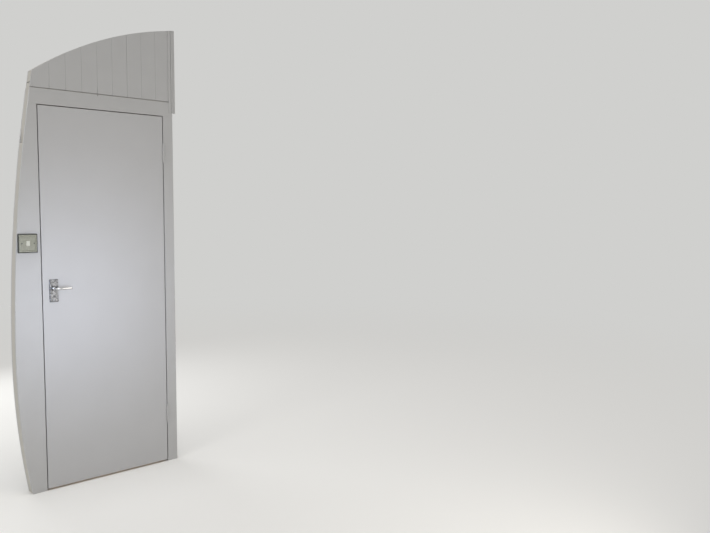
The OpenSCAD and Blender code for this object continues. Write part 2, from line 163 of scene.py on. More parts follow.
class HUTDOOR_PG_finish(PropertyGroup):
    """Colours of the finishes."""

    boards: colour_property("Boards", "Brushed paint on the boards", "BEBEBE")
    leaf: colour_property("Leaf", "Rolled paint on the leaf", "C1C1C2")
    ironwork: colour_property("Ironwork", "Paint on the hinges", "C0C0C0")
    early_wood: colour_property("Early wood", "Pale rings of the softwood", "D8B27C")
    late_wood: colour_property("Late wood", "Dark rings of the softwood", "A9743F")
    primer: colour_property("Primer", "Primer over pale rings", "CDCBC5")
    primer_late: colour_property("Primer late", "Primer over dark rings", "C4BFB5")
    zinc: colour_property("Zinc", "Plating on latch and strike", "B9BCBE")
    chrome: colour_property("Chrome", "Plating on the levers", "C6C7C9")
    # The backplates' plating: a dark tone and strong patches that are painted reflection of a dim room,
    # over some real wear
    worn_chrome_painted_reflections: colour_property("Worn chrome", "Dulled plating on the backplates", "717377")
    bronze: colour_property("Bronze", "Switch box", "4A4B48")
    brass: colour_property("Brass", "Switch plate", "818278")
    cream: colour_property("Cream", "Rocker", "CCCDC1")
    floor: colour_property("Floor", "Studio floor", "F0F0EE")
    backdrop: colour_property("Backdrop", "Background behind and around the floor", "D0D0CE")


class HUTDOOR_PG_stage(PropertyGroup):
    """Camera and light."""

    lens: FloatProperty(
        name="Lens", description="Focal length on a 36 mm wide sensor", default=37.2, min=10)
    window: power_property("Window", "Power of the low soft lamp", 1.62)
    side: power_property("Side", "Power of the lamp that the metal reflects", 9.5)
    upper: power_property("Upper", "Power of the lamp at the upper left", 32)
    closet: power_property("Closet", "Power of the lamp behind the partition", 26)
    sky: FloatProperty(
        name="Sky", description="Strength of the soft light from above", default=1.5, min=0)
    ambient: FloatProperty(
        name="Ambient", description="Strength of the world's light", default=0.23, min=0)


def settings():
    """All settings, kept on the scene."""
    return bpy.context.scene.hutdoor


class HUTDOOR_PG_all(PropertyGroup):
    """Every group of settings."""

    section: PointerProperty(type=HUTDOOR_PG_section)
    timber: PointerProperty(type=HUTDOOR_PG_timber)
    iron: PointerProperty(type=HUTDOOR_PG_iron)
    finish: PointerProperty(type=HUTDOOR_PG_finish)
    stage: PointerProperty(type=HUTDOOR_PG_stage)


# Materials

def add_node(tree, kind, inputs=None, **options):
    """Add a shader node, set its options, and fill or link its inputs."""
    node = tree.nodes.new("ShaderNode" + kind)
    for option, value in options.items():
        setattr(node, option, value)
    for socket, value in (inputs or {}).items():
        if isinstance(value, bpy.types.NodeSocket):
            tree.links.new(value, node.inputs[socket])
        else:
            node.inputs[socket].default_value = value
    return node


def new_material(name):
    """A new material, its empty node tree and the object's coordinates in it."""
    material = bpy.data.materials.new(name)
    material.use_nodes = True
    tree = material.node_tree
    tree.nodes.clear()
    return material, tree, add_node(tree, "TexCoord").outputs["Object"]


def noise(tree, vector, size, detail, **inputs):
    """A noise texture with marks of about this size."""
    return add_node(tree, "TexNoise", {
        "Vector": vector, "Scale": 1 / size, "Detail": detail, **inputs}).outputs["Fac"]


def streaks(tree, place, along, width, length, **inputs):
    """A noise texture whose marks are drawn out along an axis."""
    scale = [1 / width] * 3
    scale["XYZ".index(along)] = 1 / length
    stretched = add_node(tree, "Mapping", {"Vector": place, "Scale": scale})
    return noise(tree, stretched.outputs["Vector"], 1, 3, **inputs)


def shade(colour, amount=1):
    """A colour made lighter or darker, with an alpha of 1."""
    return (*[min(1.0, c * amount) for c in colour], 1)


def blend(tree, factor, first, second):
    """A colour that goes from the first to the second as the factor grows."""
    return add_node(tree, "Mix", {
        "Factor": factor, "A": first, "B": second}, data_type="RGBA").outputs["Result"]


def spread_over(tree, factor, first, last, start=0, end=1, **options):
    """A number that goes from the first to the last as the factor goes from start to end."""
    return add_node(tree, "MapRange", {
        "Value": factor, "From Min": start, "From Max": end, "To Min": first, "To Max": last},
        **options).outputs["Result"]


def relief(tree, height, distance, strength, **inputs):
    """Bumps of this height."""
    return add_node(tree, "Bump", {
        "Height": height, "Distance": distance, "Strength": strength, **inputs}).outputs["Normal"]


def surfaced(material, colour, roughness, normal, **inputs):
    """Give a material its surface."""
    tree = material.node_tree
    surface = add_node(tree, "BsdfPrincipled", {
        "Base Color": colour, "Roughness": roughness, "Normal": normal, **inputs})
    add_node(tree, "OutputMaterial", {"Surface": surface.outputs["BSDF"]})
    return material


def brushed_paint(name, along, colour):
    """Eggshell paint laid on with a brush: long fine bristle marks and a soft low gloss."""
    material, tree, place = new_material(name)
    # Bristle marks are drawn 4 mm wide, coarser than the real ones, so that they show
    bristle = 4 * MM
    stroke = 220 * MM
    marks = streaks(tree, place, along, bristle, stroke, Roughness=0.6)
    # Coats of different age leave cloudy patches
    clouds = noise(tree, place, 90 * MM, 2)
    return surfaced(
        material, blend(tree, clouds, shade(colour, 0.965), shade(colour, 1.03)),
        spread_over(tree, marks, 0.38, 0.52), relief(tree, marks, 0.25 * MM, 0.6),
        IOR=PAINT_IOR)


def rolled_paint(name, colour):
    """Eggshell paint put on with a short roller: a fine stipple over a slightly uneven sheet."""
    material, tree, place = new_material(name)
    stipple = noise(tree, place, 3 * MM, 2)
    sheet = noise(tree, place, 160 * MM, 1)
    waves = relief(tree, sheet, 0.6 * MM, 0.5)
    return surfaced(
        material, blend(tree, sheet, shade(colour, 0.975), shade(colour, 1.02)),
        spread_over(tree, stipple, 0.34, 0.44),
        relief(tree, stipple, 0.05 * MM, 0.6, Normal=waves), IOR=PAINT_IOR)


def planed_softwood(name, along, pith, early, late):
    """Planed redwood, bare or under thin primer: yearly rings round a pith, and fine grain."""
    material, tree, place = new_material(name)
    ring_width = 4 * MM
    turn = {"X": ALONG_X, "Z": (0, 0, 0)}[along]
    grown = add_node(tree, "Mapping", {"Vector": place, "Location": pith, "Rotation": turn})
    rings = add_node(tree, "TexWave", {
        "Vector": grown.outputs["Vector"], "Scale": WAVE / ring_width, "Distortion": 5,
        "Detail": 2, "Detail Scale": 0.35}, wave_type="RINGS", rings_direction="Z")
    fibres = streaks(tree, place, along, 1.2 * MM, 60 * MM)
    ring_tone = blend(tree, rings.outputs["Fac"], shade(early), shade(late))
    return surfaced(
        material, blend(tree, fibres, ring_tone, shade(early, 0.85)), 0.7,
        relief(tree, fibres, 0.15 * MM, 0.7))


def painted_steel(name, colour):
    """Steel hinges under the same brushed paint, where thick paint has flowed a little."""
    material, tree, place = new_material(name)
    flow = noise(tree, place, 6 * MM, 2)
    return surfaced(
        material, blend(tree, flow, shade(colour, 0.94), shade(colour, 1.03)), 0.32,
        relief(tree, flow, 0.2 * MM, 0.5), IOR=PAINT_IOR)


def worked_metal(name, colour, rough, grain, contrast):
    """A bare or plated metal: its polish varies a little in patches and fine marks. A large contrast
    makes the patches strong dark and bright painted reflections.
    """
    material, tree, place = new_material(name)
    marks = noise(tree, place, grain, 4, Roughness=0.6)
    patches = spread_over(tree, marks, 0, 1, NOISE_LOW, NOISE_HIGH)
    return surfaced(
        material, blend(tree, patches, shade(colour, 1 - contrast), shade(colour, 1 + contrast)),
        spread_over(tree, patches, rough * 1.3, rough * 0.8),
        relief(tree, marks, 0.02 * MM, 0.3), Metallic=1)


def moulded_plastic(name, colour):
    """Moulded urea plastic: smooth, slightly yellowed, with a satin moulding skin."""
    material, tree, place = new_material(name)
    clouds = noise(tree, place, 12 * MM, 2)
    skin = noise(tree, place, 0.8 * MM, 1)
    return surfaced(
        material, blend(tree, clouds, shade(colour, 0.96), shade(colour, 1.03)), 0.3,
        relief(tree, skin, 0.02 * MM, 0.4), IOR=1.53)


def finish_called(name):
    """The finish of this name, made the first time that it is asked for."""
    if name in bpy.data.materials:
        return bpy.data.materials[name]
    finish = settings().finish
    makers = {
        "brushed_eggshell_upright": lambda: brushed_paint(name, "Z", finish.boards),
        "brushed_eggshell_level": lambda: brushed_paint(name, "X", finish.boards),
        "rolled_eggshell": lambda: rolled_paint(name, finish.leaf),
        "painted_ironwork": lambda: painted_steel(name, finish.ironwork),
        "zinc_plated_steel": lambda: worked_metal(name, finish.zinc, 0.34, 4 * MM, 0.05),
        "bright_chrome": lambda: worked_metal(name, finish.chrome, 0.09, 7 * MM, 0.015),
        # The backplates' strong patches and dark tone are painted reflections as well as wear
        "worn_chrome_painted_reflections": lambda: worked_metal(name, finish.worn_chrome_painted_reflections, 0.2, 9 * MM, 0.5),
        "dark_bronze": lambda: worked_metal(name, finish.bronze, 0.42, 5 * MM, 0.08),
        "lacquered_brass": lambda: worked_metal(name, finish.brass, 0.4, 8 * MM, 0.06),
        "moulded_urea": lambda: moulded_plastic(name, finish.cream),
    }
    return makers[name]()


def refinish(node, material):
    """Give a CAD node that keeps its shape another material."""
    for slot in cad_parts[node].material_slots:
        slot.material = material


# Modelling helpers

def alone(piece):
    """Make a piece the only one selected, and the active one."""
    bpy.ops.object.select_all(action="DESELECT")
    piece.select_set(True)
    bpy.context.view_layer.objects.active = piece


def settle(piece, place=(0, 0, 0), turn=(0, 0, 0), scale=(1, 1, 1)):
    """Move, turn and scale a piece, and put that into its mesh."""
    piece.location = place
    piece.rotation_euler = turn
    piece.scale = scale
    alone(piece)
    bpy.ops.object.transform_apply(location=True, rotation=True, scale=True)
    return piece


def block(lowest, highest):
    """A cube at its size and place, as the start of a piece or as a cutter."""
    lowest, highest = Vector(lowest), Vector(highest)
    bpy.ops.mesh.primitive_cube_add(size=1)
    return settle(bpy.context.active_object, (lowest + highest) / 2, scale=highest - lowest)


def rod(centre, radius, length, turn=(0, 0, 0), facets=48):
    """A cylinder about its centre, as the start of a piece or as a cutter."""
    bpy.ops.mesh.primitive_cylinder_add(vertices=facets, radius=radius, depth=length)
    return settle(bpy.context.active_object, centre, turn)


def pick(piece, kind, wanted):
    """Open a piece in edit mode with only the faces or edges that are wanted selected."""
    alone(piece)
    bpy.ops.object.mode_set(mode="EDIT")
    bpy.ops.mesh.select_mode(type=kind)
    bpy.ops.mesh.select_all(action="DESELECT")
    mesh = bmesh.from_edit_mesh(piece.data)
    for part in mesh.faces if kind == "FACE" else mesh.edges:
        if wanted(part):
            part.select_set(True)
    bmesh.update_edit_mesh(piece.data)


def close():
    """Leave edit mode."""
    bpy.ops.object.mode_set(mode="OBJECT")


def face_out(weld=False):
    """Turn all faces outward, weld the seams of a spin where asked, and leave edit mode."""
    bpy.ops.mesh.select_all(action="SELECT")
    if weld:
        bpy.ops.mesh.remove_doubles(threshold=0.01 * MM)
    bpy.ops.mesh.normals_make_consistent(inside=False)
    close()


def runs_along(edge, axis):
    """True if an edge runs along an axis."""
    way = (edge.verts[1].co - edge.verts[0].co).normalized()
    return abs(way["XYZ".index(axis)]) > 0.99


def rounded(piece, radius, segments, axis, wanted=lambda edge: True):
    """Bevel a piece's edges that run along an axis, or only the wanted ones of them."""
    pick(piece, "EDGE", lambda edge: runs_along(edge, axis) and wanted(edge))
    bpy.ops.mesh.bevel(offset=radius, segments=segments, affect="EDGES")
    close()
    return piece


def bisect(piece, place, way):
    """Cut a line round a piece, in the plane through a place that faces a way."""
    pick(piece, "FACE", lambda face: True)
    bpy.ops.mesh.bisect(plane_co=place, plane_no=way)
    close()


def extrude(x=0, y=0, z=0):
    """Extrude what is selected."""
    bpy.ops.mesh.extrude_region_move(TRANSFORM_OT_translate={"value": (x, y, z)})


def spin(angle, centre, axis, steps):
    """Spin what is selected about an axis by the right-hand rule, which the operator turns against."""
    bpy.ops.mesh.spin(steps=steps, angle=-angle, center=centre, axis=axis)


def modified(piece, kind, **options):
    """Add a modifier to a piece, set its options and apply it."""
    alone(piece)
    bpy.ops.object.modifier_add(type=kind)
    modifier = piece.modifiers[-1]
    for option, value in options.items():
        setattr(modifier, option, value)
    bpy.ops.object.modifier_apply(modifier=modifier.name)
    return piece


def cut(piece, tool, operation="DIFFERENCE"):
    """Cut a piece with a tool, or add the tool to it, and take the tool away."""
    modified(piece, "BOOLEAN", operation=operation, solver="EXACT", object=tool)
    bpy.data.objects.remove(tool)
    return piece


def ease(piece, width, segments=3, angle=40):
    """Round every arris of a piece that is sharper than an angle."""
    return modified(piece, "BEVEL", limit_method="ANGLE", angle_limit=math.radians(angle),
                    width=width, segments=segments, miter_outer="MITER_ARC")


def copied(piece, offset=(0, 0, 0), scale=(1, 1, 1)):
    """A copy of a piece with its own mesh, scaled and moved."""
    alone(piece)
    bpy.ops.object.duplicate(linked=False)
    return settle(bpy.context.active_object, offset, scale=scale)


def mirrored(piece, y):
    """A copy of a piece on the other side of an upright plane."""
    twin = copied(piece, (0, 2 * y, 0), (1, -1, 1))
    bpy.ops.object.mode_set(mode="EDIT")
    face_out()
    return twin


def joined(pieces):
    """Join pieces into the first one."""
    alone(pieces[0])
    for piece in pieces:
        piece.select_set(True)
    bpy.ops.object.join()
    return bpy.context.active_object


def coated(piece, finish):
    """Give a piece its only finish."""
    piece.data.materials.clear()
    piece.data.materials.append(finish_called(finish))
    return piece


def smoothed(piece, angle=35):
    """Shade round faces smooth, and keep flat faces flat by weighting their normals."""
    alone(piece)
    bpy.ops.object.shade_smooth_by_angle(angle=math.radians(angle))
    return modified(piece, "WEIGHTED_NORMAL", keep_sharp=True)


def deliver(piece, name, body, node):
    """Name a finished piece and set it on its body in the place of its CAD node."""
    smoothed(piece)
    piece.name = name
    piece.data.name = name
    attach(piece, body)
    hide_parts(node)


def turned(rings, facets=40):
    """A turned piece along +Z: a disc extruded and resized through rings of height and radius."""
    height, radius = rings[0]
    bpy.ops.mesh.primitive_circle_add(
        vertices=facets, radius=radius, fill_type="NGON", location=(0, 0, height))
    piece = settle(bpy.context.active_object, (0, 0, height))
    bpy.ops.object.mode_set(mode="EDIT")
    bpy.ops.mesh.select_all(action="SELECT")
    for next_height, next_radius in rings[1:]:
        extrude(z=next_height - height)
        growth = next_radius / radius
        bpy.ops.transform.resize(
            value=(growth, growth, 1), center_override=(0, 0, next_height))
        height, radius = next_height, next_radius
    face_out()
    return piece


def arc_slab(centre_x, centre_z, radius, start, sweep, steps):
    """Spin a rectangle about an upright arc's centre, into a curved slab outside the arc."""
    depth = 600 * MM
    middle_radius = radius + depth / 2
    place = (centre_x + middle_radius * math.cos(start), 0,
             centre_z + middle_radius * math.sin(start))
    bpy.ops.mesh.primitive_plane_add(size=1)
    slab = settle(bpy.context.active_object, place, (0, -start, 0), (depth, depth, 1))
    bpy.ops.object.mode_set(mode="EDIT")
    bpy.ops.mesh.select_all(action="SELECT")
    spin(sweep, (centre_x, 0, centre_z), (0, -1, 0), steps)
    face_out(weld=True)
    return slab


def roof_slab():
    """The roof over the partition, from its radius and its two ends."""
    section = settings().section
    run = POST_X1 - DOORWAY_X0
    rise = section.roof_high - section.roof_low
    chord = math.hypot(run, rise)
    fall = math.sqrt(section.roof_radius ** 2 - chord ** 2 / 4) / chord
    centre_x = (POST_X1 + DOORWAY_X0) / 2 + rise * fall
    centre_z = HEADER_TOP + (section.roof_high + section.roof_low) / 2 - run * fall
    return arc_slab(centre_x, centre_z, section.roof_radius,
                    start=math.radians(90), sweep=math.radians(45), steps=60)


def side_slab(upper):
    """The side wall above or below its widest height, from its lean or its tuck."""
    section = settings().section
    rise = HEADER_TOP - section.belly_height if upper else section.belly_height
    push = section.side_lean if upper else section.side_tuck
    radius = (rise ** 2 + push ** 2) / (2 * push)
    centre_x = DOORWAY_X0 - section.side_board + radius
    spare = 200 * MM
    reach = math.asin((rise + spare) / radius)
    start = math.pi - reach if upper else math.pi
    return arc_slab(centre_x, section.belly_height, radius, start, sweep=reach, steps=30)


def scribed(piece, roof=False, upper_side=False, lower_side=False):
    """Trim a piece to the hut's roof and side wall."""
    if roof:
        cut(piece, roof_slab())
    if upper_side:
        cut(piece, side_slab(upper=True))
    if lower_side:
        cut(piece, side_slab(upper=False))
    return piece


def screw(radius):
    """A slotted countersunk screw head that faces +Z, its rim just under the origin."""
    half = settings().iron.slot / 2
    slot_depth = 0.7 * MM
    head = turned([(-1.6 * MM, radius * 0.6), (-0.5 * MM, radius * 0.98),
                   (-0.25 * MM, radius), (-0.1 * MM, radius * 0.92), (0, radius * 0.6)], 24)
    return cut(head, block((-half, -radius * 2, -slot_depth), (half, radius * 2, PAST)))


def screwed(piece, places, turn, radius, finish):
    """Sink a slotted screw into a piece at each place, each one turned a little further."""
    hole_length = 1.6 * MM
    sunk = 0.2 * MM
    slot_turn = 0.85
    pattern = screw(radius)
    heads = [piece]
    out = Euler(turn).to_matrix() @ Vector((0, 0, 1))
    for i, place in enumerate(places):
        cut(piece, rod(place, radius + SEAT, hole_length, turn, 24))
        head = settle(copied(pattern), turn=(0, 0, slot_turn * (i + 1)))
        heads.append(coated(settle(head, Vector(place) - out * sunk, turn), finish))
    bpy.data.objects.remove(pattern)
    return joined(heads)


class HUTDOOR_OT_framing(Operator):
    """Finish the bare framing, which keeps its CAD shapes"""

    bl_idname = "hutdoor.framing"
    bl_label = "Framing"

    def execute(self, context):
        # Each timber has its own pith, so that no two show the same rings
        piths = {
            "hinge_post": ("Z", (0.05, 0.03, 0)),
            "latch_post": ("Z", (0.83, -0.05, 0)),
            "scribe_batten": ("Z", (0.88, 0.04, 0)),
            "short_studs": ("Z", (0.3, 0.06, 0)),
            "head_rail": ("X", (0, 0.05, -2.1)),
            "roof_plate": ("X", (0, -0.04, -2.4)),
            "door_core": ("Z", (0.4, 0.12, 0)),
        }
        finish = settings().finish
        for node, (along, pith) in piths.items():
            # The timbers against the hut's shell are primed, and the leaf's core is bare
            if node == "door_core":
                early, late = finish.early_wood, finish.late_wood
            else:
                early, late = finish.primer, finish.primer_late
            refinish(node, planed_softwood("planed_softwood_" + node, along, pith, early, late))
        return {"FINISHED"}


def seat(node, past=0):
    """The cutter for the seat that a piece is let into, which may run past it along +X."""
    lowest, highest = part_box(node)
    grow = Vector((0, SEAT, SEAT))
    return block(lowest - grow, highest + grow + Vector((past, 0, 0)))


def cut_hinge_seats(piece, leaf):
    """Let both hinges' leaves of one kind into a piece."""
    cut(piece, seat("upper_hinge_" + leaf))
    cut(piece, seat("lower_hinge_" + leaf))


def keep_hole():
    """The cutter for the hole that the latch bolt shoots into."""
    half = Vector((0, 7, 10)) * MM
    deep = Vector((10 * MM, 0, 0))
    place = Vector((DOORWAY_X0, LEAF_MID_Y, SPINDLE.z))
    return block(place - half - deep, place + half + Vector((PAST, 0, 0)))


def paint_board(piece, name, node, level=False):
    """Finish a board of the frame, brushed upright or level."""
    coated(piece, "brushed_eggshell_level" if level else "brushed_eggshell_upright")
    deliver(piece, name, "frame", node)


class HUTDOOR_OT_linings(Operator):
    """Model the linings and the stops round the doorway"""

    bl_idname = "hutdoor.linings"
    bl_label = "Linings and stops"

    def execute(self, context):
        arris = settings().timber.arris
        for node in ("hinge_jamb", "latch_jamb", "head_jamb", "hinge_stop", "latch_stop", "head_stop"):
            piece = block(*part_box(node))
            if node == "hinge_jamb":
                cut_hinge_seats(piece, "frame_leaf")
            if node == "latch_jamb":
                cut(piece, seat("strike_plate", PAST))
                cut(piece, keep_hole())
            ease(piece, arris * 0.6)
            paint_board(piece, "painted_" + node, node, level=node.startswith("head"))
        return {"FINISHED"}


# The board that has shrunk, and the joints that have cracked open at their feet, counted from
# the last joint. Each crack has its share of the widest one's size
SHRUNK_BOARD = 2
CRACKED_JOINTS = ((3, 0.45), (4, 1.0), (6, 0.5), (7, 0.7))


def crack(joint, opened):
    """The cutter for a board joint that has opened at its foot, a thin upright wedge."""
    timber = settings().timber
    x = -timber.last_joint - joint * timber.cover
    half = timber.crack_width * opened / 2
    front = low("front_header").y
    below = 8 * MM
    depth = 7 * MM
    narrowed = 0.15
    piece = block((x - half, front - PAST, HEADER_TOP - below * opened),
                  (x + half, front + depth, HEADER_TOP + timber.crack_height * opened))
    pick(piece, "FACE", lambda face: face.normal.z > 0.9)
    bpy.ops.transform.resize(value=(narrowed, 1, 1), center_override=(x, front, HEADER_TOP))
    close()
    return piece


class HUTDOOR_OT_stiles(Operator):
    """Model the flat boards beside and over the doorway, on both sides"""

    bl_idname = "hutdoor.stiles"
    bl_label = "Stiles and headers"

    def execute(self, context):
        arris = settings().timber.arris
        for side in ("front", "back"):
            hinge_stile = block(*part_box(side + "_hinge_stile"))
            latch_stile = scribed(block(*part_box(side + "_latch_stile")),
                                  upper_side=True, lower_side=True)
            header = scribed(block(*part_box(side + "_header")), upper_side=True)
            if side == "front":
                cut_hinge_seats(hinge_stile, "frame_leaf")
                cut(latch_stile, seat("strike_plate", PAST))
                trim = low("corner_trim")
                cut(header, block((trim.x, trim.y - THROUGH, trim.z),
                                  (THROUGH, THROUGH, HEADER_TOP + THROUGH)))
                cut(header, crack(*CRACKED_JOINTS[1]))
            boards = {"hinge_stile": hinge_stile, "latch_stile": latch_stile, "header": header}
            for name, piece in boards.items():
                level = name == "header"
                ease(piece, arris * (0.5 if level else 1))
                node = side + "_" + name
                paint_board(piece, "painted_" + node, node, level)
        return {"FINISHED"}


# A board's tongue lies between these shares of its thickness, and is thinned to this share
TONGUE_FRONT, TONGUE_BACK = -0.55, -0.25
TONGUE_THINNED = 0.8


def tongued_board(thickness, foot, top):
    """One board from x = 0, its face towards -Y, with a chamfer, a tongue and a groove."""
    timber = settings().timber
    width = timber.cover - timber.joint
    piece = block((0, -thickness, foot), (width, 0, top))
    rounded(piece, timber.vee, 1, "Z", lambda edge: edge.verts[0].co.y < -thickness / 2)
    for share in (TONGUE_FRONT, TONGUE_BACK):
        bisect(piece, (0, thickness * share, 0), (0, 1, 0))
    # The groove is sunk into the edge at x = 0, and the tongue stands out of the other one
    for way, length in ((-1, timber.tongue + SEAT), (1, timber.tongue)):
        pick(piece, "FACE", lambda face: face.normal.x * way > 0.9
             and TONGUE_FRONT < face.calc_center_median().y / thickness < TONGUE_BACK)
        extrude(x=length)
        if way > 0:
            centre_y = (TONGUE_FRONT + TONGUE_BACK) / 2 * thickness
            bpy.ops.transform.resize(
                value=(1, TONGUE_THINNED, 1), center_override=(width, centre_y, (foot + top) / 2))
        close()
    return piece


def tongued_boards(face_y, back_y, x1, foot, cracks=()):
    """A run of tongued boards up to x1, with its cracks, trimmed to the hut's roof and side."""
    timber = settings().timber
    x0 = DOORWAY_X0 - settings().section.side_board
    top = high("hinge_post").z + 10 * MM
    pattern = tongued_board(abs(back_y - face_y), foot, top)
    boards = []
    count = math.floor((-timber.last_joint - x0) / timber.cover)
    x = -timber.last_joint - count * timber.cover
    while x < x1:
        number = round(-(x + timber.last_joint) / timber.cover)
        shrunk = timber.shrunk if number == SHRUNK_BOARD else 0
        board = copied(pattern, (x + timber.joint / 2 + shrunk, 0, 0),
                       (1 - shrunk / timber.cover, 1, 1))
        if x + timber.cover > x1:
            cut(board, block((x1, -THROUGH, 0), (x1 + THROUGH, THROUGH, top + PAST)))
        for joint, opened in cracks:
            cut(board, settle(crack(joint, opened), (0, -back_y, 0)))
        boards.append(scribed(board, roof=True, upper_side=x < DOORWAY_X0 + timber.cover))
        x += timber.cover
    bpy.data.objects.remove(pattern)
    run = joined(boards)
    if back_y > face_y:
        return settle(run, (0, back_y, 0))
    twin = mirrored(run, back_y / 2)
    bpy.data.objects.remove(run)
    return twin


class HUTDOOR_OT_boards(Operator):
    """Model the tongued boards over the doorway, on both sides"""

    bl_idname = "hutdoor.boards"
    bl_label = "Tongued boards"

    def execute(self, context):
        foot = HEADER_TOP + settings().timber.foot_gap
        lowest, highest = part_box("front_boards")
        front = tongued_boards(lowest.y, highest.y, highest.x, foot, cracks=CRACKED_JOINTS)
        paint_board(front, "front_tongued_boards", "front_boards")
        lowest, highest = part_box("back_boards")
        back = tongued_boards(highest.y, lowest.y, highest.x, foot)
        paint_board(back, "back_tongued_boards", "back_boards")
        return {"FINISHED"}


class HUTDOOR_OT_trim(Operator):
    """Model the corner moulding: a flat band, a quirk, a bead and a hollow"""

    bl_idname = "hutdoor.trim"
    bl_label = "Corner trim"

    def execute(self, context):
        lowest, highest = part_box("corner_trim")
        band = 14 * MM
        band_drop = 2 * MM
        quirk = 2.5 * MM
        bead = 4 * MM
        hollow = 8 * MM
        bead_x = lowest.x + band + quirk + bead
        bead_y = lowest.y + bead
        height = highest.z - lowest.z
        centre_z = (lowest.z + highest.z) / 2
        piece = block((lowest.x, bead_y, lowest.z), highest)
        cut(piece, block((lowest.x, lowest.y + band_drop, lowest.z),
                         (lowest.x + band, highest.y - PAST, highest.z)), "UNION")
        cut(piece, block((lowest.x + band, lowest.y - PAST, lowest.z - PAST),
                         (lowest.x + band + quirk, bead_y + 3 * MM, highest.z + PAST)))
        cut(piece, rod((bead_x, bead_y, centre_z), bead, height), "UNION")
        cut(piece, rod((highest.x, bead_y, centre_z), hollow, height + 2 * PAST))
        scribed(piece, roof=True)
        ease(piece, 0.7 * MM)
        paint_board(piece, "painted_corner_trim", "corner_trim")
        return {"FINISHED"}


# The latch: the thickness of its forend and the radius of its case
FOREND = 2.5 * MM
CASE_RADIUS = 11 * MM


class HUTDOOR_OT_leaf(Operator):
    """Finish the leaf's sheets and model its lippings"""

    bl_idname = "hutdoor.leaf"
    bl_label = "Leaf"

    def execute(self, context):
        for node in ("front_facing", "back_facing"):
            refinish(node, finish_called("rolled_eggshell"))
        for node, outward in (("hinge_lipping", 1), ("latch_lipping", -1)):
            lowest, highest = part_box(node)
            outer_x = highest.x if outward > 0 else lowest.x
            piece = rounded(block(lowest, highest), settings().timber.arris * 1.3, 4, "Z",
                            lambda edge: abs(edge.verts[0].co.x - outer_x) < PAST)
            if node == "hinge_lipping":
                cut_hinge_seats(piece, "door_leaf")
            else:
                case_low, case_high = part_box("latch_case")
                half = 12.7 * MM
                cut(piece, block((lowest.x - PAST, LEAF_MID_Y - half, case_low.z - SEAT),
                                 (lowest.x + FOREND, LEAF_MID_Y + half, case_high.z + SEAT)))
                cut(piece, rod((lowest.x, LEAF_MID_Y, SPINDLE.z), CASE_RADIUS + SEAT,
                               case_high.x - case_low.x, ALONG_X))
            deliver(coated(piece, "rolled_eggshell"), "painted_" + node, "door",
                    node)
        return {"FINISHED"}


# Butt hinges: a leaf's thickness, the knuckles, the gap at a knuckle's end, the pin and its bore
HINGE_LEAF = 2.4 * MM
KNUCKLES = 5
KNUCKLE_GAP = 0.3 * MM
PIN_RADIUS = 2.5 * MM
PIN_BORE = 2.55 * MM
# Screws in a hinge leaf, as shares of its height and width
HINGE_SCREWS = ((0.15, 0.35), (0.5, 0.68), (0.85, 0.35))


def hinge_part(side):
    """One hinge leaf with its knuckles. The side is -1 on the door and 1 on the jamb."""
    node = "upper_hinge_door_leaf" if side < 0 else "upper_hinge_frame_leaf"
    lowest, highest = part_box(node)
    radius = (highest.x - lowest.x) / 2
    axis_x = middle(node).x
    axis_y = lowest.y + radius
    height = highest.z - lowest.z
    knuckle = height / KNUCKLES
    inner_x = axis_x + side * (radius - HINGE_LEAF)
    left_x, right_x = sorted([axis_x + side * radius, inner_x])
    clear_y = axis_y + radius + KNUCKLE_GAP
    part = block((left_x, clear_y, lowest.z), (right_x, highest.y, highest.z))
    for i in range(1 if side < 0 else 0, KNUCKLES, 2):
        bottom = lowest.z + i * knuckle + (0 if i == 0 else KNUCKLE_GAP)
        top = lowest.z + (i + 1) * knuckle - (0 if i == KNUCKLES - 1 else KNUCKLE_GAP)
        cut(part, block((left_x, axis_y, bottom), (right_x, clear_y + KNUCKLE_GAP, top)), "UNION")
        cut(part, rod((axis_x, axis_y, (bottom + top) / 2), radius, top - bottom), "UNION")
    cut(part, rod((axis_x, axis_y, lowest.z + height / 2), PIN_BORE, 2 * height))
    coated(ease(part, 0.4 * MM, 2), "painted_ironwork")
    places = [(inner_x, clear_y + (highest.y - clear_y) * across, lowest.z + height * up)
              for up, across in HINGE_SCREWS]
    return screwed(part, places, (0, -side * math.pi / 2, 0), settings().iron.screw, "painted_ironwork")


class HUTDOOR_OT_hinges(Operator):
    """Model one painted butt hinge and copy it to the lower place"""

    bl_idname = "hutdoor.hinges"
    bl_label = "Hinges"

    def execute(self, context):
        drop = low("lower_hinge_frame_leaf").z - low("upper_hinge_frame_leaf").z
        parts = {
            "hinge_frame_leaf": (hinge_part(1), "frame"),
            "hinge_door_leaf": (hinge_part(-1), "door"),
            "hinge_pin": (self.pin(), "frame"),
        }
        for name, (part, body) in parts.items():
            lower = copied(part, (0, 0, drop))
            deliver(part, "painted_upper_" + name, body, "upper_" + name)
            deliver(lower, "painted_lower_" + name, body, "lower_" + name)
        return {"FINISHED"}

    def pin(self):
        """A pin with a turned button at each end."""
        lowest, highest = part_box("upper_hinge_pin")
        radius = (highest.x - lowest.x) / 2
        length = highest.z - lowest.z
        head = 2.5 * MM
        button = [(0, radius * 0.55), (head * 0.4, radius * 0.9), (head, radius), (head, PIN_RADIUS)]
        rings = button + [(length - height, ring) for height, ring in reversed(button)]
        centre = middle("upper_hinge_pin")
        return coated(settle(turned(rings, 32), (centre.x, centre.y, lowest.z)), "painted_ironwork")


